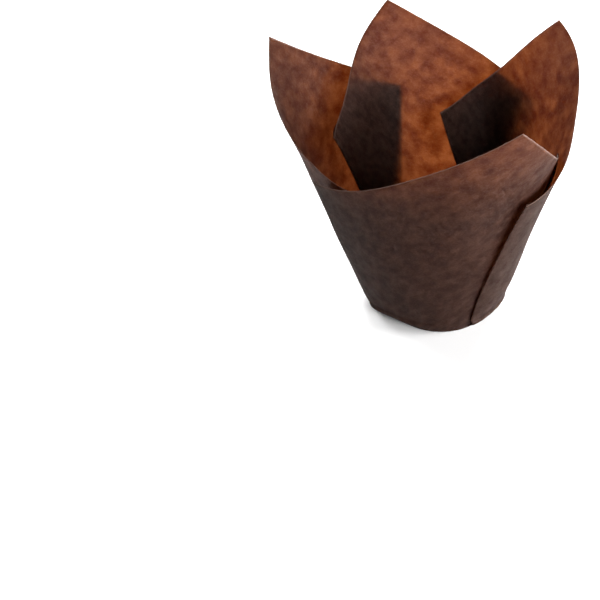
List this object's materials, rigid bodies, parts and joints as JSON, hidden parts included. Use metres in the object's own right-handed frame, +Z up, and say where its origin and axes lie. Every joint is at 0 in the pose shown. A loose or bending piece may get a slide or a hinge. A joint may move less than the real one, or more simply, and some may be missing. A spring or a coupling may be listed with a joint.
{
  "type": "tulip cupcake liner",
  "caption": "Tulip-shaped paper baking cup folded from one square sheet: flat round base, flared pleated wall and pointed petals.",
  "frame": {"origin": "middle of the round base, on the surface it stands on", "axes": "+Z up; -Y towards the panel that faces the viewer, +X to the viewer's right"},
  "size_m": [0.1073, 0.1101, 0.0946],
  "materials": {
    "paper": "matt dyed greaseproof paper, dark brown, thin enough to glow orange-brown with light behind it"
  },
  "bodies": {
    "root": {"liner": "paper"}
  },
  "joints": []
}
